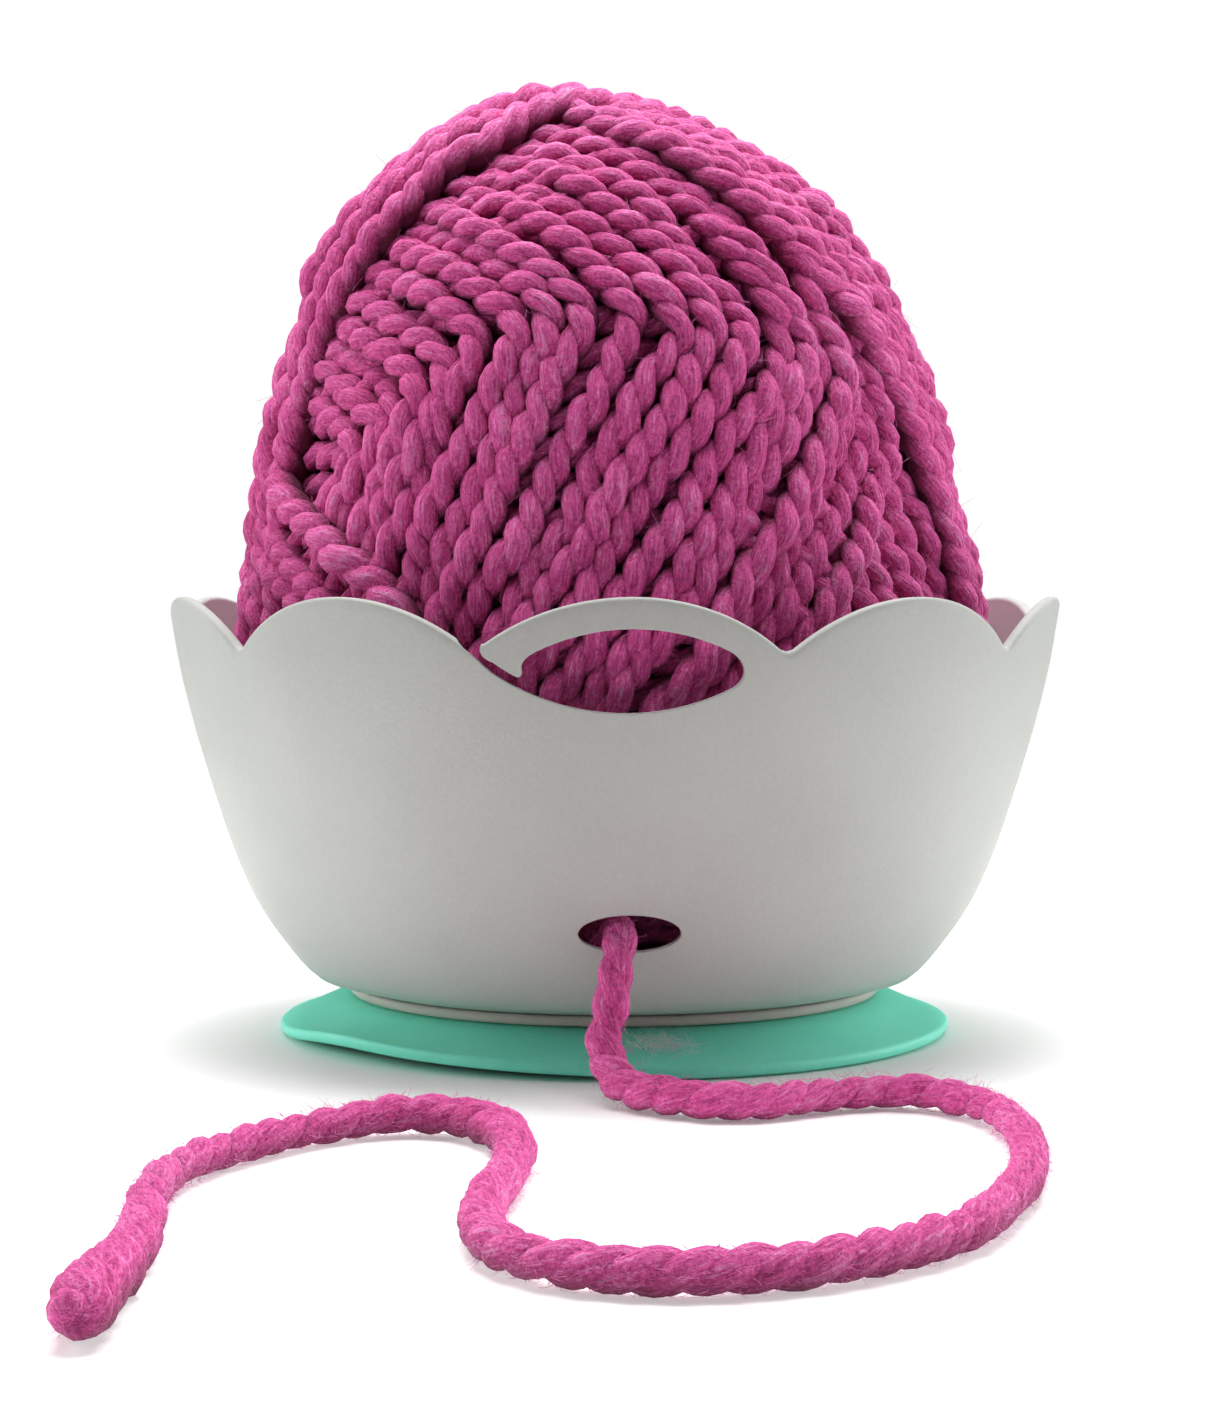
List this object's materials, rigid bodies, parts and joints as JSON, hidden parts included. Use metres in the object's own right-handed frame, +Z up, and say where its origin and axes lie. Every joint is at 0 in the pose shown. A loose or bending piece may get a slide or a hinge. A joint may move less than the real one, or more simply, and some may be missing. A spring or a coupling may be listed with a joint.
{
  "type": "yarn bowl",
  "caption": "Yarn bowl with scalloped rim, hook-shaped yarn guide, low yarn outlet and silicone suction foot, holding a centre-pull ball of two-ply yarn.",
  "frame": {"origin": "on the table under the centre of the bowl: bottom centre of the box of the bowl, its foot and the yarn ball, without the free yarn", "axes": "+Z up along the bowl's axis, -Y towards the hook-shaped yarn guide and the yarn outlet, +X to the right seen from the front"},
  "size_m": [0.15, 0.2842, 0.1616],
  "materials": {
    "bowl_shell": "pale grey-white moulded plastic, satin matte, very fine grain",
    "foot_ring": "warm grey moulded plastic, matte",
    "silicone": "mint green silicone, soft satin",
    "yarn": "magenta two-ply twisted bulky yarn, fuzzy"
  },
  "bodies": {
    "bowl": {"bowl": "bowl_shell", "foot_ring": "foot_ring", "suction_base": "silicone", "yarn_tail": "yarn"},
    "working_strand": {"yarn_lead": "yarn"},
    "yarn_ball": {"yarn_ball": "yarn"}
  },
  "joints": [
    {"name": "yarn_lift", "type": "slide", "parent": "bowl", "child": "working_strand", "axis": [0, 0, 1], "range_m": [0, 0.08]},
    {"name": "yarn_spin", "type": "hinge", "parent": "working_strand", "child": "yarn_ball", "pos_m": [0, 0, 0], "axis": [0, 0, 1], "continuous": true}
  ]
}
